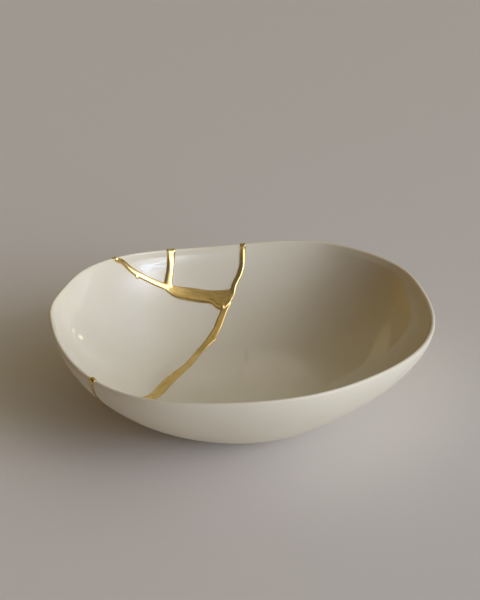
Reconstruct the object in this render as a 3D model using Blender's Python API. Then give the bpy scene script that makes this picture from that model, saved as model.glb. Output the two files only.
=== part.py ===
"""Kintsugi bowl: a hand-formed porcelain bowl that broke in four and was joined with gold lacquer.

The bowl is laid out flat first, as a slab of clay. On the slab, x and y run over the inside
surface from the middle of the floor, and z is the height above that surface, so the clay lies
below zero. The breaks and the gold seams are drawn on the slab, where they are plain lines,
and then every point is pressed into the bowl's shape. Metres, +Z up, standing on z = 0.
"""
import math

import bmesh
import bpy
import numpy as np
from mathutils import Matrix

MM = 0.001

# The bowl as it would be if it were turned
HEIGHT = 45.8 * MM
RIM_RADIUS = 86.6 * MM
BASE_RADIUS = 40.5 * MM
RIM_WALL = 1.9 * MM
FLOOR_WALL = 3.0 * MM
WALL_SLOPE = math.radians(88)
BASE_SLOPE = math.radians(12)
INSIDE_SLOPE = math.radians(4)
OUTSIDE_REACH = (11.2 * MM, 19.5 * MM)
INSIDE_REACH = (12.0 * MM, 17.0 * MM)
INSIDE_STEP = 1.5 * MM

# The hand-formed outline: how often each wave comes round, how far it goes out, and its direction
OUTLINE_WAVES = (
    (1, 0.8 * MM, math.radians(-19.4)),
    (2, 4.9 * MM, math.radians(19)),
    (3, 2.1 * MM, math.radians(37.1)),
    (4, 0.85 * MM, math.radians(-38.9)),
    (5, 0.6 * MM, math.radians(-18.6)),
    (6, 0.65 * MM, math.radians(-6.8)),
    (7, 0.2 * MM, math.radians(-20.4)),
)
# The rim's height goes up and down in the same way
RIM_WAVES = (
    (1, 0.65 * MM, math.radians(147)),
    (2, 1.0 * MM, math.radians(-35.5)),
    (3, 1.9 * MM, math.radians(44.3)),
    (4, 0.55 * MM, math.radians(-14.3)),
    (5, 0.2 * MM, math.radians(9.8)),
)
# Where a thumb pressed the rim: the direction, how far round the mark goes, and how far out
THUMB_MARKS = (
    (math.radians(27), math.radians(9), 1.15 * MM),
    (math.radians(48), math.radians(10), -1.05 * MM),
    (math.radians(168), math.radians(8), -1.05 * MM),
    (math.radians(181), math.radians(7), 0.85 * MM),
)
BASE_SHARE_OF_WAVES = 0.59
BASE_SHIFT = (-3.7 * MM, -0.9 * MM)

# Gold lacquer: a web in the break, and a rounded bead over it inside and outside
GAP = 0.3 * MM
# Where seams cross, each lies this much higher than the one before, so their undersides differ
LAYER = 0.03 * MM
WEB = 0.6 * MM
BEAD = 0.6 * MM
LIP_BEAD = 0.3 * MM
BEAD_CROWN = 0.75
CHIP_OVERLAP = 0.9 * MM
RUN_ON = 1.0 * MM
# The bead is flatter round the lip. Outside, it is narrower than inside below the lip, thins
# out towards the base, and is flush under the base.
LIP_DROP = 5 * MM
OUTSIDE_SHARE = 0.5
FLUSH_BEAD = 0.05 * MM
FLUSH_DEPTH = 0.6 * MM
OUTSIDE_BEAD_ENDS = 52 * MM
OUTSIDE_BEAD_IS_WHOLE = 68 * MM
SINKING = 3 * MM

# The gold stands above the rim, so the wall's two sides run on this far past it
ABOVE_RIM = 5 * MM

# How finely the shapes are cut into faces
SECTORS = 72
WALL_STEPS = 13
LIP_STEPS = 5
SEAM_STEP = 4.1 * MM
SEAM_ROUND_LIP = math.radians(83)
BEAD_SIDES = (-1.0, -0.6, 0.0, 0.6, 1.0)
CURVE_STEPS = 24
WALL_CURVE_STEPS = 90
WELD = 0.001 * MM
CUT_PAST = 2 * MM
SHARP = math.radians(40)

PORCELAIN_COLOUR = (0.72, 0.68, 0.59)
PORCELAIN_ROUGHNESS = 0.22
GOLD_COLOUR = (0.66, 0.46, 0.17)
GOLD_ROUGHNESS = 0.3


def smooth(share):
    share = np.clip(share, 0.0, 1.0)
    return share * share * (3 - 2 * share)


def curve_through(points, steps):
    """A smooth line through the points, at even steps along it."""
    points = np.array(points, float)
    before = 2 * points[0] - points[1]
    after = 2 * points[-1] - points[-2]
    knots = np.vstack([before, points, after])
    line = []
    for a, b, c, d in zip(knots, knots[1:], knots[2:], knots[3:]):
        for t in np.linspace(0, 1, CURVE_STEPS, endpoint=False):
            bend = (2 * a - 5 * b + 4 * c - d) * t * t + (3 * b - 3 * c + d - a) * t ** 3
            line.append((2 * b + (c - a) * t + bend) / 2)
    line.append(points[-1])
    line = np.array(line)
    travelled = lengths_along(line)
    even = np.linspace(0, travelled[-1], steps)
    return np.column_stack([np.interp(even, travelled, line[:, i]) for i in range(line.shape[1])])


def lengths_along(line):
    return np.concatenate([[0.0], np.cumsum(np.linalg.norm(np.diff(line, axis=0), axis=1))])


def heading_at(slope):
    return np.array([math.cos(slope), math.sin(slope)])


def wall_side(radius_below, z_below, slope_below, radius_above, reach):
    """Radius and height up one side of the wall, from the base's edge to the rim's top."""
    start = np.array([radius_below, z_below])
    end = np.array([radius_above, HEIGHT])
    leaves = start + reach[0] * heading_at(slope_below)
    arrives = end - reach[1] * heading_at(WALL_SLOPE)
    t = np.linspace(0, 1, WALL_CURVE_STEPS)[:, None]
    s = 1 - t
    return s ** 3 * start + 3 * s * s * t * leaves + 3 * s * t * t * arrives + t ** 3 * end


OUTSIDE = wall_side(BASE_RADIUS, 0.0, BASE_SLOPE, RIM_RADIUS, OUTSIDE_REACH)
INSIDE = wall_side(
    BASE_RADIUS - INSIDE_STEP, FLOOR_WALL, INSIDE_SLOPE, RIM_RADIUS - RIM_WALL, INSIDE_REACH
)
MIDDLE = (OUTSIDE + INSIDE) / 2
# Distance from the middle of the floor, over the flat floor and then up the wall
REACHES = np.concatenate([[0.0], MIDDLE[0, 0] + lengths_along(MIDDLE)])
OUTSIDE = np.vstack([[0.0, 0.0], OUTSIDE])
INSIDE = np.vstack([[0.0, FLOOR_WALL], INSIDE])
THICKNESSES = np.linalg.norm(OUTSIDE - INSIDE, axis=1)
FLOOR_REACH = REACHES[1]
RIM_REACH = REACHES[-1]
LIP = THICKNESSES[-1] / 2
REACHES = np.append(REACHES, RIM_REACH + ABOVE_RIM)
OUTSIDE = np.vstack([OUTSIDE, OUTSIDE[-1] + ABOVE_RIM * heading_at(WALL_SLOPE)])
INSIDE = np.vstack([INSIDE, INSIDE[-1] + ABOVE_RIM * heading_at(WALL_SLOPE)])
THICKNESSES = np.append(THICKNESSES, THICKNESSES[-1])


def thickness_at(reach):
    return np.interp(reach, REACHES, THICKNESSES)


def waves_at(turn, waves):
    return sum(amount * np.cos(count * (turn - facing)) for count, amount, facing in waves)


def thumb_marks_at(turn):
    """How far out the rim is pressed in each direction."""
    pressed = np.zeros(len(turn))
    for facing, spread, amount in THUMB_MARKS:
        away = (turn - facing + math.pi) % math.tau - math.pi
        pressed += amount * np.exp(-(away / spread) ** 2)
    return pressed


def press(points):
    """Slab places to bowl places."""
    points = np.atleast_2d(points)
    reach = np.hypot(points[:, 0], points[:, 1])
    turn = np.arctan2(points[:, 1], points[:, 0])
    through = -points[:, 2] / thickness_at(reach)
    inner = np.column_stack([np.interp(reach, REACHES, INSIDE[:, i]) for i in (0, 1)])
    outer = np.column_stack([np.interp(reach, REACHES, OUTSIDE[:, i]) for i in (0, 1)])
    radius, z = (inner + (outer - inner) * through[:, None]).T
    upward = np.clip((radius - BASE_RADIUS) / (RIM_RADIUS - BASE_RADIUS), 0, 1)
    waves = BASE_SHARE_OF_WAVES + (1 - BASE_SHARE_OF_WAVES) * upward
    pushed = waves * waves_at(turn, OUTLINE_WAVES) + upward ** 2 * thumb_marks_at(turn)
    radius = radius * (1 + pushed / RIM_RADIUS)
    x = radius * np.cos(turn) + BASE_SHIFT[0] * (1 - upward)
    y = radius * np.sin(turn) + BASE_SHIFT[1] * (1 - upward)
    z = z + waves_at(turn, RIM_WAVES) * np.clip(z / HEIGHT, 0, 1) ** 2
    return np.column_stack([x, y, z])


def on_rim(degrees):
    turn = math.radians(degrees)
    return RIM_REACH * math.cos(turn), RIM_REACH * math.sin(turn)


def on_slab(x, y):
    return x * MM, y * MM


# The breaks, drawn on the slab. One runs right across the bowl, from rim to rim. Two more
# come down from the rim to a join, and the lost chip lies between that join and the long break.
JOIN = on_slab(-45.6, 71.6)
LONG_BREAK = (
    on_rim(90.0), on_slab(0.0, 94.1), on_slab(-6.3, 75.6), on_slab(-11.9, 58.9),
    on_slab(-22.5, 30.1), on_slab(-34.1, 3.4), on_rim(222.8),
)
LEFT_BREAK = (JOIN, on_slab(-61.5, 69.4), on_rim(140.5))
SHORT_BREAK = (JOIN, on_slab(-47.8, 86.0), on_rim(118.3))
LOST_CHIP = (
    JOIN, on_slab(-38.4, 71.4), on_slab(-19.7, 73.9), on_slab(-12.8, 73.3), on_slab(-7.4, 72.3)
)
# Each sherd is known by a place on it
SHERDS = {
    "sherd_main": on_slab(60.0, 0.0),
    "sherd_left": on_slab(-70.0, 20.0),
    "sherd_rim_small": on_slab(-64.0, 81.0),
    "sherd_rim_wide": on_slab(-24.0, 92.0),
}

# Widths of the gold, at even steps along each break
LONG_WIDTHS = (
    3.0 * MM, 2.4 * MM, 3.6 * MM, 4.6 * MM, 5.4 * MM, 4.6 * MM, 3.8 * MM, 4.8 * MM
)
LEFT_WIDTHS = (3.0 * MM, 2.8 * MM, 3.4 * MM)
SHORT_WIDTHS = (4.0 * MM, 3.6 * MM, 4.2 * MM)
CHIP_WIDTHS = (4.0 * MM, 7.0 * MM, 7.6 * MM, 7.8 * MM, 10.8 * MM, 8.6 * MM)


def start_empty():
    for thing in list(bpy.data.objects):
        bpy.data.objects.remove(thing, do_unlink=True)


def new_material(name, colour, roughness, metallic):
    material = bpy.data.materials.new(name)
    material.use_nodes = True
    shader = material.node_tree.nodes["Principled BSDF"]
    shader.inputs["Base Color"].default_value = (*colour, 1)
    shader.inputs["Roughness"].default_value = roughness
    shader.inputs["Metallic"].default_value = metallic
    return material


def new_object(name, bm):
    mesh = bpy.data.meshes.new(name)
    bm.to_mesh(mesh)
    bm.free()
    thing = bpy.data.objects.new(name, mesh)
    bpy.context.scene.collection.objects.link(thing)
    return thing


def combine(thing, tools, operation):
    """Cut the tools out of a solid, or join them to it, and remove them."""
    for tool in tools:
        step = thing.modifiers.new(tool.name, "BOOLEAN")
        step.operation = operation
        step.object = tool
    bpy.context.view_layer.update()
    evaluated = thing.evaluated_get(bpy.context.evaluated_depsgraph_get())
    result = bpy.data.meshes.new_from_object(evaluated)
    thing.modifiers.clear()
    thing.data = result
    for tool in tools:
        bpy.data.objects.remove(tool, do_unlink=True)


def slab():
    """The whole bowl laid flat: floor, wall and rounded lip, spun from one section."""
    wall = np.linspace(FLOOR_REACH, RIM_REACH - LIP, WALL_STEPS + 1)
    inside = [(reach, 0.0) for reach in (0.0, *wall)]
    outside = [(reach, -thickness_at(reach)) for reach in (*wall[::-1], 0.0)]
    around = np.linspace(0, math.pi, LIP_STEPS + 1)[1:-1]
    rounded = [(RIM_REACH - LIP + LIP * math.sin(a), LIP * math.cos(a) - LIP) for a in around]
    bm = bmesh.new()
    verts = [bm.verts.new((reach, 0, z)) for reach, z in inside + rounded + outside]
    edges = [bm.edges.new(pair) for pair in zip(verts, verts[1:])]
    bmesh.ops.spin(
        bm, geom=verts + edges, cent=(0, 0, 0), axis=(0, 0, 1), angle=math.tau,
        steps=SECTORS, use_merge=True,
    )
    bmesh.ops.remove_doubles(bm, verts=bm.verts, dist=WELD)
    bmesh.ops.recalc_face_normals(bm, faces=bm.faces)
    return new_object("slab", bm)


def across_at(place, ahead):
    """Across the break on the slab, as long as one metre across is on the pressed bowl."""
    across = np.array([-ahead[1], ahead[0]]) / np.linalg.norm(ahead)
    ends = press([(*(place - MM * across), 0.0), (*(place + MM * across), 0.0)])
    return across * 2 * MM / np.linalg.norm(ends[1] - ends[0])


def swept(name, line, sections):
    """A closed solid with one ring of (across, z) points at each place of a line."""
    bm = bmesh.new()
    rings = []
    for place, ahead, section in zip(line, np.gradient(line, axis=0), sections):
        across = across_at(place, ahead)
        verts = [bm.verts.new((*(place + across * side), z)) for side, z in section]
        rings.append([bm.edges.new(pair) for pair in zip(verts, verts[1:] + verts[:1])])
    for ring, following in zip(rings, rings[1:]):
        bmesh.ops.bridge_loops(bm, edges=ring + following)
    for ring in (rings[0], rings[-1]):
        bmesh.ops.contextual_create(bm, geom=ring)
    bmesh.ops.recalc_face_normals(bm, faces=bm.faces)
    return new_object(name, bm)


def onward(line, distance):
    """The place a distance past the end of a line."""
    heading = line[-1] - line[-2]
    return line[-1] + heading / np.linalg.norm(heading) * distance


def even_line(route):
    return curve_through(route, round(lengths_along(np.array(route))[-1] / SEAM_STEP) + 1)


def past_end(line):
    """The same line, run on at its last end: straight out over the lip, or a little into a join."""
    end = line[-1]
    if np.linalg.norm(end) < RIM_REACH - LIP:
        return np.vstack([line, onward(line, RUN_ON)])
    while np.linalg.norm(line[-1]) > RIM_REACH - LIP - SEAM_STEP / 2:
        line = line[:-1]
    outward = end / np.linalg.norm(end)
    round_lip = np.sin(np.linspace(0, SEAM_ROUND_LIP, LIP_STEPS + 2)) * (LIP + GAP + LIP_BEAD)
    return np.vstack([line, *(outward * (RIM_REACH - LIP + past) for past in round_lip)])


def break_line(route):
    line = past_end(even_line(route))
    return past_end(line[::-1])[::-1]


def widths_along(line, widths):
    """The widths, smoothed between their even steps, at each place of a line."""
    travelled = lengths_along(line)
    even = curve_through(list(enumerate(widths)), CURVE_STEPS * len(widths))
    return np.interp(travelled / travelled[-1] * (len(widths) - 1), *even.T)


def rounded(size, past):
    """Half the height of something as thick as size that ends in a half circle."""
    return math.sqrt(max(size * size - past * past, 0.0))


def lobe(half, under, top):
    """One bead, from its left edge over its crown to its right edge."""
    crown = BEAD_CROWN * (top - under)
    dome = [(side * half, top - crown * side * side) for side in BEAD_SIDES]
    return [(-half, under), *dome, (half, under)]


def gold_section(place, half, web, gap):
    """The gold at one place: a bead inside, the web, and a bead outside, which fades downwards."""
    reach = math.hypot(*place)
    middle = thickness_at(reach) / 2
    past = max(0.0, reach - RIM_REACH + LIP)
    near_lip = smooth((reach - RIM_REACH + LIP_DROP) / (LIP_DROP - LIP))
    under = rounded(middle + gap, past)
    top = rounded(middle + gap + BEAD + (LIP_BEAD - BEAD) * near_lip, past)
    if under < FLUSH_BEAD:
        under = FLUSH_BEAD / 2
        web = half - FLUSH_BEAD
    whole = smooth((reach - OUTSIDE_BEAD_ENDS) / (OUTSIDE_BEAD_IS_WHOLE - OUTSIDE_BEAD_ENDS))
    sunk = smooth((OUTSIDE_BEAD_ENDS - reach) / SINKING)
    share = whole * (OUTSIDE_SHARE + (1 - OUTSIDE_SHARE) * near_lip)
    outer_half = web + FLUSH_BEAD + (half - web - FLUSH_BEAD) * share
    outer_under = under - FLUSH_DEPTH * sunk
    outer_top = outer_under + FLUSH_BEAD + (top - under - FLUSH_BEAD) * whole
    inner = [*lobe(half, under, top), (web, under)]
    outer = [(web, outer_under), *[(-x, z) for x, z in lobe(outer_half, outer_under, outer_top)]]
    outer.append((-web, outer_under))
    section = inner + [(x, -z) for x, z in outer] + [(-web, under)]
    return [(x, z - middle) for x, z in section]


def gold(name, line, widths, webs, gap):
    sections = [gold_section(*at, gap) for at in zip(line, widths / 2, webs / 2)]
    return swept(name, line, sections)


def cut(name, line, webs):
    """What is taken out of the clay for the gold: a slot right through the wall."""
    line = np.vstack([onward(line[::-1], GAP), line, onward(line, GAP)])
    webs = [webs[0], *webs, webs[-1]]
    sections = []
    for place, web in zip(line, webs):
        side = web / 2 + GAP
        deep = thickness_at(math.hypot(*place)) + CUT_PAST
        sections.append([(-side, CUT_PAST), (side, CUT_PAST), (side, -deep), (-side, -deep)])
    return swept(name, line, sections)


def seam(name, route, widths, gap):
    """The gold of one break, standing a gap off the clay, and the slot that it lies in."""
    line = break_line(route)
    webs = np.full(len(line), WEB)
    bead = gold(name + "_seam", line, widths_along(line, widths), webs, gap)
    return bead, cut(name + "_slot", line, webs)


def chip():
    """The gold that stands in for the lost chip, and the hole that it fills."""
    line = break_line(LOST_CHIP)
    widths = widths_along(line, CHIP_WIDTHS)
    webs = widths - 2 * CHIP_OVERLAP
    return gold("gold_seam", line, widths, webs, GAP), cut("chip_hole", line, webs)


def one_piece(thing, name, place):
    """A copy of the connected piece that lies nearest to a place on the slab."""
    bm = bmesh.new()
    bm.from_mesh(thing.data)
    bm.verts.ensure_lookup_table()
    near = min(bm.verts, key=lambda v: (v.co.x - place[0]) ** 2 + (v.co.y - place[1]) ** 2)
    found = {near}
    fresh = [near]
    while fresh:
        vert = fresh.pop()
        for edge in vert.link_edges:
            other = edge.other_vert(vert)
            if other not in found:
                found.add(other)
                fresh.append(other)
    bmesh.ops.delete(bm, geom=[v for v in bm.verts if v not in found], context="VERTS")
    return new_object(name, bm)


def finish(thing, material):
    """Press a slab piece into the bowl's shape and give it its material."""
    bm = bmesh.new()
    bm.from_mesh(thing.data)
    bmesh.ops.remove_doubles(bm, verts=bm.verts, dist=WELD)
    bmesh.ops.dissolve_degenerate(bm, edges=bm.edges, dist=WELD)
    bmesh.ops.triangulate(bm, faces=bm.faces)
    pressed = press([v.co for v in bm.verts])
    for vert, place in zip(bm.verts, pressed):
        vert.co = place
    bm.to_mesh(thing.data)
    bm.free()
    thing.data.shade_smooth()
    thing.data.set_sharp_from_angle(angle=SHARP)
    thing.data.materials.clear()
    thing.data.materials.append(material)


def centre(things):
    """Move every piece so that the middle of the bowl's box stands over the origin."""
    corners = np.array([v.co for thing in things for v in thing.data.vertices])
    middle = (corners.min(0) + corners.max(0)) / 2
    for thing in things:
        thing.data.transform(Matrix.Translation((-middle[0], -middle[1], 0)))


def build():
    start_empty()
    seams = [
        seam("long", LONG_BREAK, LONG_WIDTHS, GAP + LAYER),
        seam("left", LEFT_BREAK, LEFT_WIDTHS, GAP + 2 * LAYER),
        seam("short", SHORT_BREAK, SHORT_WIDTHS, GAP + 3 * LAYER),
    ]
    lacquer, hole = chip()
    combine(lacquer, [bead for bead, _ in seams], "UNION")
    clay = slab()
    combine(clay, [hole, *(slot for _, slot in seams)], "DIFFERENCE")
    sherds = [one_piece(clay, name, place) for name, place in SHERDS.items()]
    bpy.data.objects.remove(clay, do_unlink=True)
    for sherd in sherds:
        porcelain = new_material(
            sherd.name + "_porcelain", PORCELAIN_COLOUR, PORCELAIN_ROUGHNESS, metallic=0.0
        )
        finish(sherd, porcelain)
    finish(lacquer, new_material("gold_lacquer", GOLD_COLOUR, GOLD_ROUGHNESS, metallic=1.0))
    centre([*sherds, lacquer])


build()
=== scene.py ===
"""The looks of a kintsugi bowl: glazed porcelain sherds, held by seams of gold lacquer.

As in the solid model, the bowl is laid out flat first, as a slab of clay. On the slab, x and y
run over the inside surface from the middle of the floor, and z is the height above it. The
breaks are cut and the gold is laid there, and then every point is pressed into the bowl.
"""

import math

import bmesh
import bpy
import numpy as np
from mathutils import Matrix, Vector, kdtree, noise


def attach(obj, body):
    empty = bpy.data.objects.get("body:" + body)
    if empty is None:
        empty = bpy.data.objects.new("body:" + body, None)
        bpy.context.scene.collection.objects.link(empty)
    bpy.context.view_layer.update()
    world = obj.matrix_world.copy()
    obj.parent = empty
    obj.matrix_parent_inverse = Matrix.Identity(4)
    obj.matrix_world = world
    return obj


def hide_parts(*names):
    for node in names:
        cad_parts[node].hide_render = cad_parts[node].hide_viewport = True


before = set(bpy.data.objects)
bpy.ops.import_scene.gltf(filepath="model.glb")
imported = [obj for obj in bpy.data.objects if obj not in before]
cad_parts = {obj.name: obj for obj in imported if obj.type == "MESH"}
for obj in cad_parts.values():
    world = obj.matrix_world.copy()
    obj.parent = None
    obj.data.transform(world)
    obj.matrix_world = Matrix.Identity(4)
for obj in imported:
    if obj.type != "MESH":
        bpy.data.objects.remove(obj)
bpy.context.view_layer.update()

MM = 0.001
UP = np.array([0.0, 0.0, 1.0])

# The bowl's section and outline, as in the solid model
HEIGHT = 45.8 * MM
RIM_RADIUS = 86.6 * MM
BASE_RADIUS = 40.5 * MM
RIM_WALL = 1.9 * MM
FLOOR_WALL = 3.0 * MM
WALL_SLOPE = math.radians(88)
BASE_SLOPE = math.radians(12)
INSIDE_SLOPE = math.radians(4)
OUTSIDE_REACH = (11.2 * MM, 19.5 * MM)
INSIDE_REACH = (12.0 * MM, 17.0 * MM)
INSIDE_STEP = 1.5 * MM
FLOOR_DISH = 0.55 * MM
DISH_POWER = 5
ABOVE_RIM = 5 * MM
OUTLINE_WAVES = (
    (1, 0.8 * MM, math.radians(-19.4)),
    (2, 4.9 * MM, math.radians(19)),
    (3, 2.1 * MM, math.radians(37.1)),
    (4, 0.85 * MM, math.radians(-38.9)),
    (5, 0.6 * MM, math.radians(-18.6)),
    (6, 0.65 * MM, math.radians(-6.8)),
    (7, 0.2 * MM, math.radians(-20.4)),
)
RIM_WAVES = (
    (1, 0.65 * MM, math.radians(147)),
    (2, 1.0 * MM, math.radians(-35.5)),
    (3, 1.9 * MM, math.radians(44.3)),
    (4, 0.55 * MM, math.radians(-14.3)),
    (5, 0.2 * MM, math.radians(9.8)),
)
# Where a thumb pressed the rim: the direction, how far round the mark goes, and how far out
THUMB_MARKS = (
    (math.radians(27), math.radians(9), 1.15 * MM),
    (math.radians(48), math.radians(10), -1.05 * MM),
    (math.radians(168), math.radians(8), -1.05 * MM),
    (math.radians(181), math.radians(7), 0.85 * MM),
)
BASE_SHARE_OF_WAVES = 0.59
BASE_SHIFT = (-3.7 * MM, -0.9 * MM)

# How finely the clay is cut into faces
SECTORS = 360
FLOOR_RINGS = 20
WALL_RINGS = 54
LIP_RINGS = 10
CURVE_STEPS = 24
WALL_CURVE_STEPS = 400
OUTLINE_STEPS = 720
WELD = 0.001 * MM
SHARP = math.radians(40)

# The maker's hand: soft dents in the wall, and how far each goes in and across
DENTS = ((0.14 * MM, 34 * MM), (0.05 * MM, 15 * MM))
UNDERSIDE_FLAT_TO = 8 * MM

# The gold: its height on the lip, how deep it sits in the clay, and the web in the break
LIP_BEAD = 0.36 * MM
SUNK = 0.35 * MM
WEB = 0.6 * MM
WEB_SHORT = 0.1 * MM
CUT_PAST = 2 * MM
RING_STEP = 0.7 * MM
BEAD_POINTS = 17
GRAIN_OF_REMESH = 0.245 * MM
SMOOTHINGS = 5
# Outside, a line is narrow and low, and thins out between these distances from the middle
OUTSIDE_BEAD_ENDS = 52 * MM
OUTSIDE_BEAD_IS_WHOLE = 68 * MM
OUTSIDE_WIDTH = 2.2 * MM
OUTSIDE_BEAD = 0.32 * MM
LIP_DROP = 7 * MM
LIP_PLACES = 8
# A line lower than this was laid flat with the brush
FLAT_BELOW = 0.62 * MM
FLAT_FADE = 0.2 * MM
LINE_IS_BRUSHED = 0.5
BRUSHED_HOLLOW = 0.3
CROWN_FULLNESS = 3.0
FLAT_IS_FULLER = 2.2
CROWN_ROUNDING = 0.6
# How unevenly a line was laid, as shares of its width and height
WOBBLE_LENGTH = 7 * MM
WIDTH_WOBBLE = 0.10
SIDE_WOBBLE = 0.07
HEIGHT_WOBBLE = 0.12

# The finishes, with scales in cells a metre. Most of a noise lies between these two numbers
NOISE_SPREAD = (0.3, 0.7)
CLAY = ((0.760, 0.700, 0.545), (0.790, 0.734, 0.585))
CLAY_CLOUD_SCALE = 38.0
CLAY_SPECK = (0.42, 0.34, 0.24)
SPECK_SCALE = 150.0
SPECK_SIZES = (0.05, 0.09)
SPECK_PATCH_SCALE = 60.0
SPECK_PATCHES = (0.55, 0.62)
CLAY_LIP = (0.80, 0.72, 0.54)
CLAY_SMUDGE = (0.40, 0.33, 0.22)
SPECK_SHOWS = 0.10
LIP_SHOWS = 0.6
SMUDGE_SHOWS = 0.2
# How far below the rim the lip's tone begins, and how far it fades, in halves of the rim's wall
LIP_TONE_BEGINS = 3.2
LIP_TONE_FADE = 3.0
# How far through the wall the glaze ends, and how far it fades, as shares of the wall
GLAZE_ENDS = 0.62
GLAZE_FADE = 0.3
GLAZE_ROUGHNESS = (0.03, 0.06)
CLAY_ROUGHNESS = (0.40, 0.52)
GLAZE_PATCH_SCALE = 90.0
GLAZE_IOR = 1.5
GLAZE_RIPPLE = 0.02 * MM
GLAZE_RIPPLE_SCALE = 260.0
TURNING_MARKS = 0.05 * MM
TURNING_SCALE = (30.0, 30.0, 620.0)
CLAY_GRAIN = 0.012 * MM
CLAY_GRAIN_SCALE = 2600.0
GOLD = ((0.76, 0.55, 0.19), (0.86, 0.65, 0.27))
GOLD_CLOUD_SCALE = 240.0
LACQUER_IN_STROKES = (0.45, 0.29, 0.08)
STROKES_SHOW = (0.65, 0.05)
STROKE_SPREAD = (0.35, 0.65)
# Browner at the foot of each line: partly the lacquer showing through the thin gold, partly painted
# shade
LACQUER_AND_SHADE_AT_EDGE = (0.40, 0.26, 0.08)
# Painted shade in the pocket at the chip's nose
POCKET_PAINTED_SHADE = (0.30, 0.18, 0.05)
EDGE_LACQUER_AND_SHADE_SHOWS = 0.35
EDGE_THINS_BELOW = 0.4 * MM
POCKET_SHADE_SHOWS = 0.7
GOLD_METALLIC = 0.82
GOLD_ROUGHNESS = (0.14, 0.2)
GOLD_PATCH_SCALE = 300.0
BRUSHED_IS_ROUGHER = 0.14
STROKE_LENGTH_SCALE = 110.0
STROKE_WIDTH_SCALE = 1900.0
STROKE_DEPTH = 0.03 * MM
GOLD_UNEVENNESS = 0.02 * MM
GOLD_UNEVENNESS_SCALE = 700.0
PALE_FLOOR = (0.75, 0.71, 0.66)
FLOOR_ROUGHNESS = 0.9
FLOOR_HALF = 3.0

# The studio: azimuth, elevation, narrowness and brightness of each broad glow
GLOWS = (
    (-30, 28, 40.0, (3.00, 3.05, 3.40)),
    (-15, 28, 40.0, (1.60, 1.75, 2.40)),
    (-22, 32, 30.0, (1.75, 1.70, 1.75)),
    (15, 40, 40.0, (0.67, 0.90, 1.34)),
    (-30, 4, 40.0, (2.50, 2.65, 3.10)),
    (-45, 4, 40.0, (3.60, 4.00, 4.50)),
    (-60, 4, 40.0, (2.70, 2.95, 3.10)),
    (60, 28, 8.0, (0.37, 0.37, 0.29)),
    (150, 6, 8.0, (0.58, 0.36, 0.04)),
    (0, 54, 8.0, (0.38, 0.27, 0.10)),
    (-120, 6, 8.0, (0.14, 0.02, 0.01)),
    (95, 42, 8.0, (0.21, 0.20, 0.17)),
    (-40, 80, 12.0, (0.25, 0.23, 0.17)),
    (-78, 58, 20.0, (0.04, 0.04, 0.03)),
)
# Small lights, which the glaze mirrors: azimuth, elevation, width, height, tilt, power, tint
COOL = (0.73, 0.92, 1.36)
WARM = (1.0, 0.86, 0.55)
PANES = (
    (-35, 21, 0.62, 0.44, 0, 1.5, COOL),
    (-28, 17, 0.30, 0.30, 30, 0.8, COOL),
    (-41, 21, 0.60, 0.04, -30, 0.5, COOL),
    (-44, 13, 0.50, 0.03, 12, 0.45, COOL),
    (51, 7.6, 0.34, 0.05, -10, 0.15, WARM),
    (47.5, 12.5, 0.09, 0.05, -12, 0.07, WARM),
    (119, 20, 0.50, 0.12, 30, 0.07, WARM),
)
PANE_DISTANCE = 1.5
# What stands behind the floor, where it is seen from low down
BACKDROP = (0.36, 0.33, 0.30)
CAMERA_PLACE = (-1.14 * MM, -478.72 * MM, 294.76 * MM)
CAMERA_LOOKS_DOWN = math.radians(26.904)
CAMERA_LENS = 69.0
CAMERA_SENSOR = 36.0


def on_slab(*numbers):
    return tuple(number * MM for number in numbers)


def smooth(share):
    share = np.clip(share, 0.0, 1.0)
    return share * share * (3 - 2 * share)


def lengths_along(line):
    return np.concatenate([[0.0], np.cumsum(np.linalg.norm(np.diff(line, axis=0), axis=1))])


def curve_through(points, spacing):
    """A smooth line through the points, with places about a spacing apart. Columns past the
    second, such as a width, are carried along."""
    points = np.array(points, float)
    before = 2 * points[0] - points[1]
    after = 2 * points[-1] - points[-2]
    knots = np.vstack([before, points, after])
    line = []
    for a, b, c, d in zip(knots, knots[1:], knots[2:], knots[3:]):
        for t in np.linspace(0, 1, CURVE_STEPS, endpoint=False):
            bend = (2 * a - 5 * b + 4 * c - d) * t * t + (3 * b - 3 * c + d - a) * t ** 3
            line.append((2 * b + (c - a) * t + bend) / 2)
    line.append(points[-1])
    line = np.array(line)
    travelled = lengths_along(line[:, :2])
    even = np.linspace(0, travelled[-1], round(travelled[-1] / spacing) + 1)
    return np.column_stack([np.interp(even, travelled, column) for column in line.T])


def heading_at(slope):
    return np.array([math.cos(slope), math.sin(slope)])


def wall_side(radius_below, z_below, slope_below, radius_above, reach):
    """Radius and height up one side of the wall, from the base's edge to the rim's top."""
    start = np.array([radius_below, z_below])
    end = np.array([radius_above, HEIGHT])
    leaves = start + reach[0] * heading_at(slope_below)
    arrives = end - reach[1] * heading_at(WALL_SLOPE)
    t = np.linspace(0, 1, WALL_CURVE_STEPS)[:, None]
    s = 1 - t
    return s ** 3 * start + 3 * s * s * t * leaves + 3 * s * t * t * arrives + t ** 3 * end


OUTSIDE = wall_side(BASE_RADIUS, 0.0, BASE_SLOPE, RIM_RADIUS, OUTSIDE_REACH)
INSIDE = wall_side(
    BASE_RADIUS - INSIDE_STEP, FLOOR_WALL, INSIDE_SLOPE, RIM_RADIUS - RIM_WALL, INSIDE_REACH
)
MIDDLE = (OUTSIDE + INSIDE) / 2
FLOOR_REACH = MIDDLE[0, 0]
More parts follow.
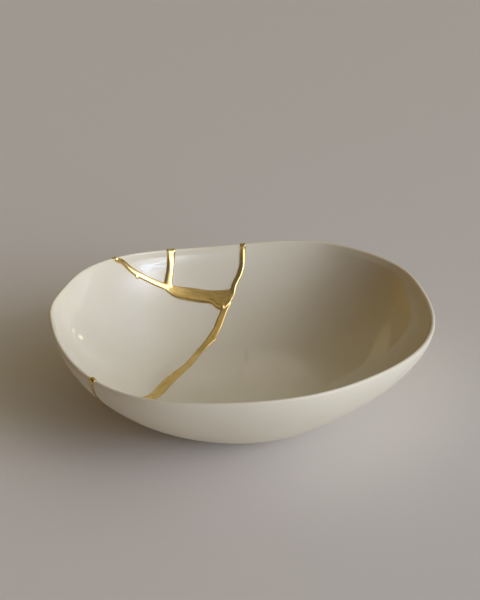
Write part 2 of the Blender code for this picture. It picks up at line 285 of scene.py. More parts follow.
# From the middle of the floor to its edge, it is slightly dished
TO_EDGE = np.linspace(0, 1, FLOOR_RINGS, endpoint=False)
DISHED = FLOOR_WALL - FLOOR_DISH * (1 - TO_EDGE ** DISH_POWER)
REACHES = np.concatenate([FLOOR_REACH * TO_EDGE, FLOOR_REACH + lengths_along(MIDDLE)])
OUTSIDE = np.vstack([np.column_stack([BASE_RADIUS * TO_EDGE, 0 * TO_EDGE]), OUTSIDE])
INSIDE = np.vstack([np.column_stack([(BASE_RADIUS - INSIDE_STEP) * TO_EDGE, DISHED]), INSIDE])
THICKNESSES = np.linalg.norm(OUTSIDE - INSIDE, axis=1)
RIM_REACH = REACHES[-1]
LIP = THICKNESSES[-1] / 2
REACHES = np.append(REACHES, RIM_REACH + ABOVE_RIM)
OUTSIDE = np.vstack([OUTSIDE, OUTSIDE[-1] + ABOVE_RIM * heading_at(WALL_SLOPE)])
INSIDE = np.vstack([INSIDE, INSIDE[-1] + ABOVE_RIM * heading_at(WALL_SLOPE)])
THICKNESSES = np.append(THICKNESSES, THICKNESSES[-1])


def thickness_at(reach):
    return np.interp(reach, REACHES, THICKNESSES)


def waves_at(turn, waves):
    return sum(amount * np.cos(count * (turn - facing)) for count, amount, facing in waves)


def thumb_marks_at(turn):
    """How far out the rim is pressed in each direction."""
    pressed = np.zeros(len(turn))
    for facing, spread, amount in THUMB_MARKS:
        away = (turn - facing + math.pi) % math.tau - math.pi
        pressed += amount * np.exp(-(away / spread) ** 2)
    return pressed


def dents_at(points):
    """How far the clay's two faces are pushed in or out at each place of the slab. The
    underside stays flat, for the bowl to stand on."""
    pushed = np.zeros(len(points))
    for amount, across in DENTS:
        lattice = [noise.noise((x / across, y / across, amount / MM)) for x, y in points[:, :2]]
        pushed += amount * np.array(lattice)
    reach = np.hypot(points[:, 0], points[:, 1])
    through = -points[:, 2] / thickness_at(reach)
    on_wall = smooth((reach - FLOOR_REACH) / UNDERSIDE_FLAT_TO)
    return pushed * (1 - smooth(through) * (1 - on_wall))


def press(points):
    """Slab places to bowl places."""
    points = np.atleast_2d(points)
    reach = np.hypot(points[:, 0], points[:, 1])
    turn = np.arctan2(points[:, 1], points[:, 0])
    through = -points[:, 2] / thickness_at(reach)
    inner = np.column_stack([np.interp(reach, REACHES, INSIDE[:, i]) for i in (0, 1)])
    outer = np.column_stack([np.interp(reach, REACHES, OUTSIDE[:, i]) for i in (0, 1)])
    radius, z = (inner + (outer - inner) * through[:, None]).T
    upward = np.clip((radius - BASE_RADIUS) / (RIM_RADIUS - BASE_RADIUS), 0, 1)
    waves = BASE_SHARE_OF_WAVES + (1 - BASE_SHARE_OF_WAVES) * upward
    pushed = waves * waves_at(turn, OUTLINE_WAVES) + upward ** 2 * thumb_marks_at(turn)
    radius = radius * (1 + pushed / RIM_RADIUS)
    x = radius * np.cos(turn) + BASE_SHIFT[0] * (1 - upward)
    y = radius * np.sin(turn) + BASE_SHIFT[1] * (1 - upward)
    z = z + waves_at(turn, RIM_WAVES) * np.clip(z / HEIGHT, 0, 1) ** 2
    return np.column_stack([x, y, z])


def on_rim(degrees, *more):
    turn = math.radians(degrees)
    return RIM_REACH * math.cos(turn), RIM_REACH * math.sin(turn), *on_slab(*more)


# The gold lines, each as places on the slab with the line's width and height there
LEFT_SEAM = (
    on_rim(141.2, 2.3, 0.3), on_slab(-80.2, 67.5, 2.8, 0.7), on_slab(-76.8, 69.0, 3.0, 0.85),
    on_slab(-68.6, 69.1, 3.2, 0.9), on_slab(-61.5, 69.9, 3.4, 0.9), on_slab(-51.4, 71.1, 3.6, 0.85),
    on_slab(-45.6, 71.8, 3.6, 0.7),
)
SHORT_SEAM = (
    on_rim(118.3, 5.0, 0.4), on_slab(-49.6, 91.4, 4.7, 0.8), on_slab(-48.3, 88.0, 4.6, 0.95),
    on_slab(-46.9, 82.1, 4.4, 0.95), on_slab(-46.0, 75.9, 4.7, 0.85), on_slab(-45.3, 72.0, 5.2, 0.6),
)
LONG_SEAM = (
    on_rim(90.0, 3.4, 0.45), on_slab(-0.2, 100.4, 3.1, 0.85), on_slab(-0.2, 94.0, 3.0, 0.85),
    on_slab(-1.7, 88.3, 3.0, 0.9), on_slab(-4.4, 82.3, 3.0, 0.85), on_slab(-5.5, 77.6, 3.0, 0.52),
    on_slab(-7.0, 73.0, 3.1, 0.45), on_slab(-9.3, 67.2, 3.5, 0.5), on_slab(-11.0, 60.8, 3.9, 0.55),
    on_slab(-12.9, 54.0, 3.8, 0.5), on_slab(-14.8, 48.2, 4.4, 0.5), on_slab(-17.7, 42.7, 3.7, 0.48),
    on_slab(-21.2, 34.6, 3.7, 0.46), on_slab(-25.2, 23.9, 4.2, 0.44), on_slab(-28.0, 18.4, 4.5, 0.42),
    on_slab(-30.4, 13.3, 5.1, 0.4), on_slab(-34.6, 4.0, 6.1, 0.4), on_slab(-39.2, -6.8, 5.3, 0.42),
    on_slab(-44.5, -14.0, 5.0, 0.45), on_slab(-56.0, -34.0, 3.8, 0.5),
    on_slab(-71.3, -61.6, 3.3, 0.55), on_rim(222.45, 3.6, 0.5),
)
# The lost chip's two edges, along x
CHIP_UPPER = (
    on_slab(-47.0, 72.6), on_slab(-43.7, 73.5), on_slab(-38.2, 74.8), on_slab(-32.2, 76.2),
    on_slab(-26.3, 77.0), on_slab(-19.8, 77.6), on_slab(-13.7, 78.5), on_slab(-6.8, 79.8),
    on_slab(-5.2, 81.0),
)
CHIP_LOWER = (
    on_slab(-47.0, 69.9), on_slab(-43.3, 68.4), on_slab(-40.2, 67.7), on_slab(-37.1, 67.7),
    on_slab(-31.2, 68.5), on_slab(-25.1, 69.2), on_slab(-18.5, 69.9), on_slab(-16.5, 69.2),
    on_slab(-14.9, 68.0), on_slab(-12.3, 67.1), on_slab(-10.5, 67.0), on_slab(-8.3, 69.1),
    on_slab(-5.2, 73.2),
)
CHIP_FILL = 0.42 * MM
CHIP_FILL_OUTSIDE = 0.3 * MM
CHIP_ROUNDING = 0.6 * MM
CHIP_COLUMNS = 25
OUTSIDE_HAS_EVERY = 4
CHIP_RIDGE = 0.32 * MM
CHIP_RIDGE_IN = 1.6 * MM
CHIP_RIDGE_WIDTH = 0.8 * MM
RIDGE_BEGINS = -45.0 * MM
RIDGE_IS_WHOLE = -34.0 * MM
# The chip's nose, along x: there the ridge turns out to the edge, round a pocket whose shade is painted
# darker
NOSE_BEGINS = -22.0 * MM
NOSE_ENDS = -10.0 * MM
NOSE_TURN = 4.0 * MM
RIDGE_TURNS_OUT = 0.45 * MM
# Where the pocket's painted shade lies: how far in from the chip's lower edge, and how wide
POCKET_SHADE_IN = 2.2 * MM
POCKET_SHADE_WIDTH = 0.8 * MM
CHIP_OVERLAP = 0.9 * MM
CHIP_SPREAD = 0.4 * MM
RIDGE_IS_POLISHED = (1.5 * MM, 2.7 * MM)
# Drops of lacquer that ran out of the lines: a place, and half the length, width and height
DROPS = (
    (on_slab(-65.2, 68.0, 0), on_slab(1.7, 1.3, 0.65)),
    (on_slab(-10.7, 69.0, 0.3), on_slab(1.0, 1.0, 1.05)),
    (on_slab(-13.2, 49.2, 0), on_slab(1.5, 2.6, 0.5)),
    (on_slab(-77.8, -71.2, -0.9), on_slab(1.8, 1.8, 1.4)),
)
# A faint smudge on the floor under the glaze: from, to, how far across, and the shares of its
# length over which it begins and ends
SMUDGE = (on_slab(5.6, 44.0), on_slab(5.5, 24.0))
SMUDGE_ACROSS = 1.1 * MM
SMUDGE_BEGINS = 0.3
SMUDGE_ENDS = 0.5
# The four sherds, each with a place that lies on it
SHERDS = {
    "sherd_main": on_slab(60.0, 0.0),
    "sherd_left": on_slab(-70.0, 20.0),
    "sherd_rim_small": on_slab(-64.0, 81.0),
    "sherd_rim_wide": on_slab(-24.0, 92.0),
}


def new_object(name, bm):
    mesh = bpy.data.meshes.new(name)
    bm.to_mesh(mesh)
    bm.free()
    thing = bpy.data.objects.new(name, mesh)
    bpy.context.scene.collection.objects.link(thing)
    return thing


def join(name, things):
    bm = bmesh.new()
    for thing in things:
        bm.from_mesh(thing.data)
        bpy.data.objects.remove(thing, do_unlink=True)
    return new_object(name, bm)


def apply_modifiers(thing):
    bpy.context.view_layer.update()
    evaluated = thing.evaluated_get(bpy.context.evaluated_depsgraph_get())
    result = bpy.data.meshes.new_from_object(evaluated)
    thing.modifiers.clear()
    thing.data = result


def cut_out(thing, tools):
    for tool in tools:
        step = thing.modifiers.new(tool.name, "BOOLEAN")
        step.operation = "DIFFERENCE"
        step.object = tool
    apply_modifiers(thing)
    for tool in tools:
        bpy.data.objects.remove(tool, do_unlink=True)


def clay_slab():
    """The whole bowl laid flat: floor, wall and rounded lip, spun from one section."""
    floor = np.linspace(0, FLOOR_REACH, FLOOR_RINGS + 1)[:-1]
    wall = np.linspace(FLOOR_REACH, RIM_REACH - LIP, WALL_RINGS + 1)
    reaches = np.concatenate([floor, wall])
    inside = [(reach, 0.0) for reach in reaches]
    outside = [(reach, -thickness_at(reach)) for reach in reaches[::-1]]
    around = np.linspace(0, math.pi, LIP_RINGS + 1)[1:-1]
    rounded = [(RIM_REACH - LIP + LIP * math.sin(a), LIP * math.cos(a) - LIP) for a in around]
    bm = bmesh.new()
    verts = [bm.verts.new((reach, 0, z)) for reach, z in inside + rounded + outside]
    edges = [bm.edges.new(pair) for pair in zip(verts, verts[1:])]
    bmesh.ops.spin(
        bm, geom=verts + edges, cent=(0, 0, 0), axis=(0, 0, 1), angle=math.tau,
        steps=SECTORS, use_merge=True,
    )
    bmesh.ops.remove_doubles(bm, verts=bm.verts, dist=WELD)
    bmesh.ops.recalc_face_normals(bm, faces=bm.faces)
    return new_object("clay_slab", bm)


def rings_to_solid(name, rings):
    """A closed solid through rings of points, each ring bridged to the next, with capped ends."""
    bm = bmesh.new()
    loops = []
    for ring in rings:
        verts = [bm.verts.new(point) for point in ring]
        loops.append([bm.edges.new(pair) for pair in zip(verts, verts[1:] + verts[:1])])
    for loop, following in zip(loops, loops[1:]):
        bmesh.ops.bridge_loops(bm, edges=loop + following)
    for loop in (loops[0], loops[-1]):
        bmesh.ops.contextual_create(bm, geom=loop)
    bmesh.ops.recalc_face_normals(bm, faces=bm.faces)
    return new_object(name, bm)


def across_at(place, ahead, up=UP):
    """Across a line on the slab, as long as one metre across is on the pressed bowl."""
    across = np.cross(up, ahead)
    across /= np.linalg.norm(across)
    ends = press(np.array([place - MM * across, place + MM * across]))
    return across * 2 * MM / np.linalg.norm(ends[1] - ends[0])


def on_surface(line):
    """A line's places, lifted from x and y to the slab's inside surface."""
    return np.column_stack([line[:, :2], np.zeros(len(line))])


def break_solid(name, line, above, below):
    """A thin solid that follows a break through the wall, from above the inside surface to
    below the outside surface."""
    places = on_surface(line)
    rings = []
    for place, ahead in zip(places, np.gradient(places, axis=0)):
        side = across_at(place, ahead) * WEB / 2
        deep = thickness_at(math.hypot(place[0], place[1])) + below
        corners = ((-1, above), (1, above), (1, -deep), (-1, -deep))
        rings.append([place + side * s + UP * z for s, z in corners])
    return rings_to_solid(name, rings)


def break_slot(name, route):
    """What is taken out of the clay along a break, on past the rim or into the join."""
    line = curve_through([point[:2] for point in route], 2 * RING_STEP)
    for _ in range(2):
        ahead = line[-1] - line[-2]
        past = CUT_PAST * ahead / np.linalg.norm(ahead)
        line = np.vstack([line, line[-1] + past])[::-1]
    return break_solid(name, line, CUT_PAST, CUT_PAST)


def chip_edges(inset=0.0):
    """The chip's upper and lower edge at even steps of x, each drawn in by an inset."""
    upper = curve_through(CHIP_UPPER, RING_STEP)
    lower = curve_through(CHIP_LOWER, RING_STEP)
    along = np.arange(upper[0, 0], upper[-1, 0], RING_STEP)
    above = np.interp(along, upper[:, 0], upper[:, 1]) - inset
    below = np.interp(along, lower[:, 0], lower[:, 1]) + inset
    return along, above, below


def chip_hole():
    rings = []
    for x, above, below in zip(*chip_edges(CHIP_OVERLAP)):
        deep = thickness_at(math.hypot(x, above)) + CUT_PAST
        rings.append([(x, above, CUT_PAST), (x, below, CUT_PAST), (x, below, -deep), (x, above, -deep)])
    return rings_to_solid("chip_hole", rings)


def one_piece(thing, name, place):
    """A copy of the connected piece that lies nearest to a place on the slab."""
    bm = bmesh.new()
    bm.from_mesh(thing.data)
    near = min(bm.verts, key=lambda v: (v.co.x - place[0]) ** 2 + (v.co.y - place[1]) ** 2)
    found = {near}
    fresh = [near]
    while fresh:
        vert = fresh.pop()
        for edge in vert.link_edges:
            other = edge.other_vert(vert)
            if other not in found:
                found.add(other)
                fresh.append(other)
    bmesh.ops.delete(bm, geom=[v for v in bm.verts if v not in found], context="VERTS")
    return new_object(name, bm)


def places_of(thing):
    flat = np.empty(len(thing.data.vertices) * 3)
    thing.data.vertices.foreach_get("co", flat)
    return flat.reshape(-1, 3)


def store(thing, name, values):
    """Keep one number a vertex, for the material to read."""
    attribute = thing.data.attributes.new(name, "FLOAT", "POINT")
    attribute.data.foreach_set("value", np.ascontiguousarray(values, np.float32))


def press_thing(thing):
    """Press a finished slab piece into the bowl, and stand the bowl where the solid model does."""
    points = places_of(thing)
    points[:, 2] += dents_at(points)
    pressed = press(points) - MIDDLE_OF_OUTLINE
    thing.data.vertices.foreach_set("co", pressed.ravel())
    thing.data.update()
    thing.data.shade_smooth()
    thing.data.set_sharp_from_angle(angle=SHARP)


def middle_of_outline():
    turn = np.linspace(0, math.tau, OUTLINE_STEPS, endpoint=False)
    outermost = np.column_stack([
        (RIM_REACH - LIP / 2) * np.cos(turn), (RIM_REACH - LIP / 2) * np.sin(turn),
        np.full(len(turn), -2 * LIP),
    ])
    outline = press(outermost)
    middle = (outline.min(0) + outline.max(0)) / 2
    return np.array([middle[0], middle[1], 0.0])


MIDDLE_OF_OUTLINE = middle_of_outline()


def smudge_at(places):
    """How dark the smudge on the floor is at each place."""
    start, end = (np.array(place) for place in SMUDGE)
    span = np.linalg.norm(end - start)
    ahead = (end - start) / span
    off = places[:, :2] - start
    along = off @ ahead
    beside = off @ np.array([-ahead[1], ahead[0]])
    inside = places[:, 2] > -MM
    ends = smooth(along / (SMUDGE_BEGINS * span)) * smooth((span - along) / (SMUDGE_ENDS * span))
    return inside * ends * np.exp(-(beside / SMUDGE_ACROSS) ** 2)


def sherds():
    clay = clay_slab()
    routes = {"left": LEFT_SEAM, "short": SHORT_SEAM, "long": LONG_SEAM}
    slots = [break_slot(name + "_slot", route) for name, route in routes.items()]
    cut_out(clay, [chip_hole(), *slots])
    pieces = [one_piece(clay, "porcelain_" + name, place) for name, place in SHERDS.items()]
    bpy.data.objects.remove(clay, do_unlink=True)
    for piece in pieces:
        places = places_of(piece)
        reach = np.hypot(places[:, 0], places[:, 1])
        through = -places[:, 2] / thickness_at(reach)
        store(piece, "outside", smooth((through - GLAZE_ENDS) / GLAZE_FADE))
        below_rim = (RIM_REACH - reach) / LIP
        store(piece, "lip", smooth((LIP_TONE_BEGINS - below_rim) / LIP_TONE_FADE))
        store(piece, "smudge", smudge_at(places))
        press_thing(piece)
    return pieces


def dome(half, height):
    """A bead's section: (across, up) from one edge over its crown to the other, and its sunk
    foot. A low bead is flat, and hollow along its middle, where the brush went."""
    sides = np.sin(np.linspace(-math.pi / 2, math.pi / 2, BEAD_POINTS))
    low = smooth((FLAT_BELOW - height) / FLAT_FADE)
    hollow = BRUSHED_HOLLOW * low
    fullness = CROWN_FULLNESS + FLAT_IS_FULLER * low
    over = []
    for s in sides:
        crown = (1 - abs(s) ** fullness) ** CROWN_ROUNDING
        over.append((half * s, height * (1 - hollow * (1 - s * s)) * crown))
    return over + [(half, -SUNK), (-half, -SUNK)]


def wobble(distance, seed):
    return noise.noise((distance / WOBBLE_LENGTH, seed, 0.5))


def over_lip(line):
    """A gold line that ends at the rim, carried over the lip and down the outside, where it is
    narrower and lower and thins out under the foot. Gives the same as seam_places does."""
    reach = np.hypot(line[:, 0], line[:, 1])
    last = slice(-LIP_PLACES, None)
    x, y, width, height = (
        np.interp(RIM_REACH - LIP, reach[last], column[last]) for column in line.T
    )
    top = line[-1, :2]
    foot = np.array([x, y])
    places, ups, sizes = [], [], []
    for a in np.linspace(0, math.pi, LIP_RINGS + 3):
        outward = np.append(top / np.linalg.norm(top), 0.0)
        flat = foot + (top - foot) * math.sin(a)
        places.append(np.append(flat, LIP * math.cos(a) - LIP))
        ups.append(outward * math.sin(a) + UP * math.cos(a))
        sizes.append((width, height + (LIP_BEAD - height) * math.sin(a)))
    for (x, y, width, height), far in zip(line[::-1], reach[::-1]):
        if far > RIM_REACH - LIP - RING_STEP / 2:
            continue
        if far < OUTSIDE_BEAD_ENDS:
            break
        shown = smooth((far - OUTSIDE_BEAD_ENDS) / (OUTSIDE_BEAD_IS_WHOLE - OUTSIDE_BEAD_ENDS))
        near_lip = smooth((far - RIM_REACH + LIP_DROP) / LIP_DROP)
        places.append(np.array([x, y, -thickness_at(far)]))
        ups.append(-UP)
        sizes.append((
            WEB + (OUTSIDE_WIDTH - WEB) * shown + (width - OUTSIDE_WIDTH) * near_lip,
            OUTSIDE_BEAD * shown + (height - OUTSIDE_BEAD) * near_lip,
        ))
    return np.array(places), np.array(ups), np.array(sizes)


def seam_places(line):
    """Along a gold line from end to end: its places, its upward directions, and its widths
    and heights."""
    reach = np.hypot(line[:, 0], line[:, 1])
    kept = line[reach < RIM_REACH - LIP - RING_STEP / 2]
    runs = [(on_surface(kept), np.tile(UP, (len(kept), 1)), kept[:, 2:])]
    if reach[0] > RIM_REACH - LIP:
        runs.insert(0, tuple(column[::-1] for column in over_lip(line[::-1])))
    if reach[-1] > RIM_REACH - LIP:
        runs.append(over_lip(line))
    return (np.vstack(columns) for columns in zip(*runs))


def bead(name, line, seed):
    """The raised gold of one break, as a closed solid."""
    places, ups, sizes = seam_places(line)
    travelled = lengths_along(places)
    aheads = np.gradient(places, axis=0)
    rings = []
    for place, ahead, up, (width, height), far in zip(places, aheads, ups, sizes, travelled):
        across = across_at(place, ahead, up)
        half = width / 2 * (1 + WIDTH_WOBBLE * wobble(far, seed))
        shift = SIDE_WOBBLE * width * wobble(far, seed + 7.3)
        crown = height * (1 + HEIGHT_WOBBLE * wobble(far, seed + 3.1))
        rings.append([place + across * (side + shift) + up * z for side, z in dome(half, crown)])
    return rings_to_solid(name, rings)


def web(name, line):
    """The thin gold that fills the break through the wall, short of both faces."""
    inside_rim = line[np.hypot(line[:, 0], line[:, 1]) < RIM_REACH - LIP]
    return break_solid(name, inside_rim, -WEB_SHORT, -WEB_SHORT)


def rounded_off(share, wide):
    """How whole the fill's height is at a share of its width: it is rounded down at its edges."""
    from_edge = min(share, 1 - share) * wide
    return math.sqrt(1 - (1 - min(from_edge / CHIP_ROUNDING, 1)) ** 2)


def chip_fill():
    """The gold that stands in for the lost chip: a flat fill with a ridge along its lower edge."""
    rings = []
    shares = (1 - np.cos(np.linspace(0, math.pi, CHIP_COLUMNS))) / 2
    for x, above, below in zip(*chip_edges(-CHIP_SPREAD)):
        wide = above - below
        deep = thickness_at(math.hypot(x, above))
        whole = smooth((x - RIDGE_BEGINS) / (RIDGE_IS_WHOLE - RIDGE_BEGINS))
        ridge_in = CHIP_RIDGE_IN - RIDGE_TURNS_OUT * smooth((x - NOSE_BEGINS) / NOSE_TURN)
        ring = []
        for share in shares:
            off_ridge = (share * wide - ridge_in) / CHIP_RIDGE_WIDTH
            ridge = whole * CHIP_RIDGE * math.exp(-off_ridge ** 2)
            z = (CHIP_FILL + ridge) * rounded_off(share, wide)
            ring.append((x, below + share * wide, z))
        inset = CHIP_OVERLAP
        ring.append((x, above - inset, -SUNK))
        ring.append((x, above - inset, -deep + SUNK))
        for share in shares[::-OUTSIDE_HAS_EVERY]:
            z = -deep - CHIP_FILL_OUTSIDE * rounded_off(share, wide)
            ring.append((x, below + share * wide, z))
        ring.append((x, below + inset, -deep + SUNK))
        ring.append((x, below + inset, -SUNK))
        rings.append(ring)
    return rings_to_solid("chip_fill", rings)


def drop(place, size):
    bm = bmesh.new()
    bmesh.ops.create_icosphere(bm, subdivisions=4, radius=1.0)
    bmesh.ops.scale(bm, vec=size, verts=bm.verts)
    bmesh.ops.translate(bm, vec=place, verts=bm.verts)
    return new_object("drop", bm)


def brush_lay(places):
    """How the brush went over each place of the gold: how far along, how far beside, how flat; and how
    much painted shade lies there, in the pocket at the chip's nose."""
    ways = []
    for route in (LEFT_SEAM, SHORT_SEAM, LONG_SEAM):
        line = curve_through(route, RING_STEP)
        flat = LINE_IS_BRUSHED * smooth((FLAT_BELOW - line[:, 3]) / FLAT_FADE)
        ways.append((line[:, :2], flat))
    chip, above, below = chip_edges()
    ways.append((np.column_stack([chip, (above + below) / 2]), np.ones(len(chip))))
    spots = np.vstack([line for line, _ in ways])
    aheads = np.vstack([np.gradient(line, axis=0) for line, _ in ways])
    aheads /= np.linalg.norm(aheads, axis=1)[:, None]
    fars = np.concatenate([lengths_along(line) for line, _ in ways])
    flats = np.concatenate([flat for _, flat in ways])
    tree = kdtree.KDTree(len(spots))
    for number, (x, y) in enumerate(spots):
        tree.insert((x, y, 0.0), number)
    tree.balance()
    nearest = np.array([tree.find((x, y, 0.0))[1] for x, y in places[:, :2]])
    off = places[:, :2] - spots[nearest]
    ahead = aheads[nearest]
    along = fars[nearest] + (off * ahead).sum(1)
    beside = off[:, 1] * ahead[:, 0] - off[:, 0] * ahead[:, 1]
    from_lower = places[:, 1] - np.interp(places[:, 0], chip, below)
    polished, brushed = RIDGE_IS_POLISHED
    in_chip = nearest >= len(spots) - len(chip)
    kept = np.where(in_chip, smooth((from_lower - polished) / (brushed - polished)), 1.0)
    past_begin = smooth((places[:, 0] - NOSE_BEGINS) / NOSE_TURN)
    before_end = smooth((NOSE_ENDS - places[:, 0]) / NOSE_TURN)
    # The painted shade of the pocket, along the chip's nose
    across_pocket_shade = np.exp(-((from_lower - POCKET_SHADE_IN) / POCKET_SHADE_WIDTH) ** 2)
    pocket_shade = in_chip * past_begin * before_end * across_pocket_shade
    return along, beside, flats[nearest] * kept, pocket_shade


def gold_lacquer():
    """All the gold: the lines, the fill and the drops flow into each other in one skin, and
    the webs stand in the breaks under it."""
    lines = {
        name: curve_through(route, RING_STEP)
        for name, route in (("left", LEFT_SEAM), ("short", SHORT_SEAM), ("long", LONG_SEAM))
    }
    beads = [bead(name + "_bead", line, seed) for seed, (name, line) in enumerate(lines.items(), 3)]
    gold = join("gold_lacquer", [*beads, chip_fill(), *(drop(*each) for each in DROPS)])
    flow = gold.modifiers.new("flow", "REMESH")
    flow.mode = "VOXEL"
    flow.voxel_size = GRAIN_OF_REMESH
    apply_modifiers(gold)
    bm = bmesh.new()
    bm.from_mesh(gold.data)
    for _ in range(SMOOTHINGS):
        bmesh.ops.smooth_vert(
            bm, verts=bm.verts, factor=0.5, use_axis_x=True, use_axis_y=True, use_axis_z=True
        )
    bm.to_mesh(gold.data)
    bm.free()
    gold = join("gold_lacquer", [gold, *(web(name + "_web", line) for name, line in lines.items())])
    places = places_of(gold)
    deep = thickness_at(np.hypot(places[:, 0], places[:, 1]))
    stands = np.maximum(places[:, 2], -places[:, 2] - deep)
    # At the foot of each line the gold is browner: the lacquer showing through, and painted shade
    store(gold, "edge", 1 - smooth(stands / EDGE_THINS_BELOW))
    for name, values in zip(("along", "beside", "flat", "pocket_shade"), brush_lay(places)):
        store(gold, name, values)
    press_thing(gold)
    return gold


class Nodes:
    """A node tree, built up in words."""

    def __init__(self, tree):
        self.tree = tree

    def node(self, kind, inputs=None, **settings):
        made = self.tree.nodes.new("ShaderNode" + kind)
        for key, value in settings.items():
            setattr(made, key, value)
        for key, value in (inputs or {}).items():
            self.put(made, key, value)
        return made

    def put(self, node, key, value):
        if isinstance(value, bpy.types.NodeSocket):
            self.tree.links.new(value, node.inputs[key])
        else:
            node.inputs[key].default_value = value

    def math(self, operation, *values):
        return self.node("Math", dict(enumerate(values)), operation=operation).outputs[0]

    def vector_math(self, operation, inputs, output="Vector"):
        return self.node("VectorMath", inputs, operation=operation).outputs[output]

    def mix(self, share, a, b):
        return self.node("Mix", {0: share, 6: a, 7: b}, data_type="RGBA").outputs[2]


class Finish(Nodes):
    """The node tree of one material, on the Principled BSDF that it starts with."""

    def __init__(self, name):
        self.material = bpy.data.materials.new(name)
        self.material.use_nodes = True
        super().__init__(self.material.node_tree)
        self.surface = self.tree.nodes["Principled BSDF"]

    def stored(self, name):
        return self.node("Attribute", attribute_name=name).outputs["Fac"]

    def scaled(self, name, scale):
        return self.math("MULTIPLY", self.stored(name), scale)

    def range(self, value, low, high, to_low, to_high):
        made = self.node("MapRange", {0: value, 1: low, 2: high, 3: to_low, 4: to_high})
        return made.outputs[0]

    def spread(self, noise, to_low, to_high):
        return self.range(noise, *NOISE_SPREAD, to_low, to_high)

    def noise(self, where, scale, detail=2.0):
        return self.node("TexNoise", {"Vector": where, "Scale": scale, "Detail": detail}).outputs[0]

    def stretched(self, where, scale):
        return self.node("Mapping", {"Vector": where, "Scale": scale}).outputs[0]

    def bump(self, height, distance, strength, under=None):
        made = self.node("Bump", {"Height": height, "Distance": distance, "Strength": strength})
        if under is not None:
            self.put(made, "Normal", under)
        return made.outputs[0]


def colour(red, green, blue):
    return red, green, blue, 1.0


def porcelain():
    """Warm white clay under a clear glaze inside, smoothed and bare outside."""
    look = Finish("glazed_porcelain")
    where = look.node("TexCoord").outputs["Object"]
    outside = look.stored("outside")
    clouds = look.spread(look.noise(where, CLAY_CLOUD_SCALE, 4.0), 0, 1)
    body = look.mix(clouds, *(colour(*each) for each in CLAY))
    cells = look.node("TexVoronoi", {"Vector": where, "Scale": SPECK_SCALE}).outputs["Distance"]
    specks = look.range(cells, *SPECK_SIZES, 1, 0)
    patches = look.noise(where, SPECK_PATCH_SCALE, 3.0)
    specks_show = look.range(patches, *SPECK_PATCHES, 0, SPECK_SHOWS)
    body = look.mix(look.math("MULTIPLY", specks, specks_show), body, colour(*CLAY_SPECK))
    body = look.mix(look.scaled("lip", LIP_SHOWS), body, colour(*CLAY_LIP))
    body = look.mix(look.scaled("smudge", SMUDGE_SHOWS), body, colour(*CLAY_SMUDGE))
    look.put(look.surface, "Base Color", body)
    uneven = look.noise(where, GLAZE_PATCH_SCALE, 3.0)
    glazed = look.spread(uneven, *GLAZE_ROUGHNESS)
    bare = look.spread(uneven, *CLAY_ROUGHNESS)
    rough = look.node("Mix", {0: outside, 2: glazed, 3: bare}, data_type="FLOAT")
    look.put(look.surface, "Roughness", rough.outputs[0])
    look.surface.inputs["IOR"].default_value = GLAZE_IOR
    ripple = look.noise(where, GLAZE_RIPPLE_SCALE)
    rings = look.noise(look.stretched(where, TURNING_SCALE), 1.0)
    grain = look.noise(where, CLAY_GRAIN_SCALE)
    relief = look.bump(ripple, GLAZE_RIPPLE, 0.6)
    relief = look.bump(look.math("MULTIPLY", rings, outside), TURNING_MARKS, 0.5, relief)
    relief = look.bump(look.math("MULTIPLY", grain, outside), CLAY_GRAIN, 0.6, relief)
    look.put(look.surface, "Normal", relief)
    return look.material


def gold():
    """Polished gold over lacquer, brushed along the lines. It is browner at the foot of each line,
    partly the lacquer showing through the thin gold and partly painted shade, and a pocket at the
    chip's nose has painted shade.
    """
    look = Finish("gold_lacquer")
    where = look.node("TexCoord").outputs["Object"]
    flat = look.stored("flat")
    along = look.scaled("along", STROKE_LENGTH_SCALE)
    beside = look.scaled("beside", STROKE_WIDTH_SCALE)
    laid = look.node("CombineXYZ", {0: along, 1: beside}).outputs[0]
    strokes = look.noise(laid, 1.0, 3.0)
    clouds = look.spread(look.noise(where, GOLD_CLOUD_SCALE, 4.0), 0, 1)
    tone = look.mix(clouds, *(colour(*each) for each in GOLD))
    in_strokes = look.math("MULTIPLY", look.range(strokes, *STROKE_SPREAD, *STROKES_SHOW), flat)
    tone = look.mix(in_strokes, tone, colour(*LACQUER_IN_STROKES))
    # Browner at each line's foot: lacquer showing through, and painted shade
    tone = look.mix(look.scaled("edge", EDGE_LACQUER_AND_SHADE_SHOWS), tone, colour(*LACQUER_AND_SHADE_AT_EDGE))
    # The pocket at the chip's nose is painted darker, as its shade
    tone = look.mix(look.scaled("pocket_shade", POCKET_SHADE_SHOWS), tone, colour(*POCKET_PAINTED_SHADE))
    look.put(look.surface, "Base Color", tone)
    look.surface.inputs["Metallic"].default_value = GOLD_METALLIC
    rough = look.spread(look.noise(where, GOLD_PATCH_SCALE), *GOLD_ROUGHNESS)
    rough = look.math("ADD", rough, look.math("MULTIPLY", flat, BRUSHED_IS_ROUGHER))
    look.put(look.surface, "Roughness", rough)
    relief = look.bump(look.math("MULTIPLY", strokes, flat), STROKE_DEPTH, 0.6)
    uneven = look.noise(where, GOLD_UNEVENNESS_SCALE)
    relief = look.bump(uneven, GOLD_UNEVENNESS, 0.35, relief)
    look.put(look.surface, "Normal", relief)
    return look.material


def dress(thing, material, node):
    thing.data.materials.clear()
    thing.data.materials.append(material)
    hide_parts(node)
    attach(thing, "root")


def floor():
    bm = bmesh.new()
    bmesh.ops.create_grid(bm, x_segments=1, y_segments=1, size=FLOOR_HALF)
    thing = new_object("floor", bm)
    look = Finish("pale_floor")
    look.surface.inputs["Base Color"].default_value = colour(*PALE_FLOOR)
    look.surface.inputs["Roughness"].default_value = FLOOR_ROUGHNESS
    thing.data.materials.append(look.material)


def toward(azimuth, elevation):
    """A direction: azimuth 0 is +X and 90 is +Y."""
    a, e = math.radians(azimuth), math.radians(elevation)
    return Vector((math.cos(a) * math.cos(e), math.sin(a) * math.cos(e), math.sin(e)))


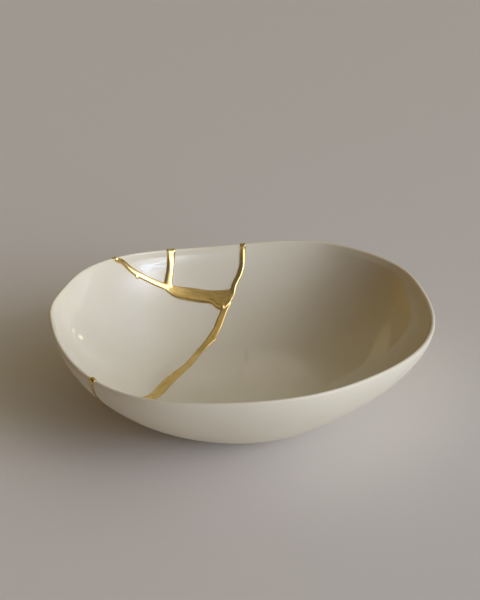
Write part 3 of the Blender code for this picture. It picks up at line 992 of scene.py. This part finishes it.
def pane(azimuth, elevation, wide, high, tilt, power, tint):
    light = bpy.data.lights.new("pane", "AREA")
    light.shape = "RECTANGLE"
    light.size = wide
    light.size_y = high
    light.energy = power
    light.color = tint
    thing = bpy.data.objects.new("pane", light)
    direction = toward(azimuth, elevation)
    thing.location = direction * PANE_DISTANCE + Vector((0, 0, HEIGHT / 2))
    upright = direction.to_track_quat("Z", "Y").to_matrix()
    thing.rotation_euler = (upright @ Matrix.Rotation(math.radians(tilt), 3, "Z")).to_euler()
    bpy.context.scene.collection.objects.link(thing)


def studio():
    """Soft light from broad glows round the bowl, and small panes that the glaze mirrors."""
    for each in PANES:
        pane(*each)
    world = bpy.data.worlds.new("studio")
    world.use_nodes = True
    sky = Nodes(world.node_tree)
    where = sky.node("TexCoord").outputs["Generated"]
    light = (0.0, 0.0, 0.0)
    for azimuth, elevation, narrowness, tint in GLOWS:
        facing = sky.vector_math("DOT_PRODUCT", {0: where, 1: toward(azimuth, elevation)}, "Value")
        away = sky.math("MULTIPLY_ADD", facing, narrowness, -narrowness)
        glow = sky.vector_math("SCALE", {0: tint, "Scale": sky.math("EXPONENT", away)})
        light = sky.vector_math("ADD", {0: light, 1: glow})
    seen_directly = sky.node("LightPath").outputs["Is Camera Ray"]
    shown = sky.mix(seen_directly, light, colour(*BACKDROP))
    sky.put(sky.tree.nodes["Background"], "Color", shown)
    bpy.context.scene.world = world
    bpy.context.scene.view_settings.view_transform = "Standard"


def camera():
    lens = bpy.data.cameras.new("camera")
    lens.lens = CAMERA_LENS
    lens.sensor_width = CAMERA_SENSOR
    thing = bpy.data.objects.new("camera", lens)
    thing.location = CAMERA_PLACE
    thing.rotation_euler = (math.radians(90) - CAMERA_LOOKS_DOWN, 0, 0)
    bpy.context.scene.collection.objects.link(thing)
    bpy.context.scene.camera = thing


clay_look = porcelain()
for piece, node in zip(sherds(), SHERDS):
    dress(piece, clay_look, node)
dress(gold_lacquer(), gold(), "gold_seam")
floor()
studio()
camera()
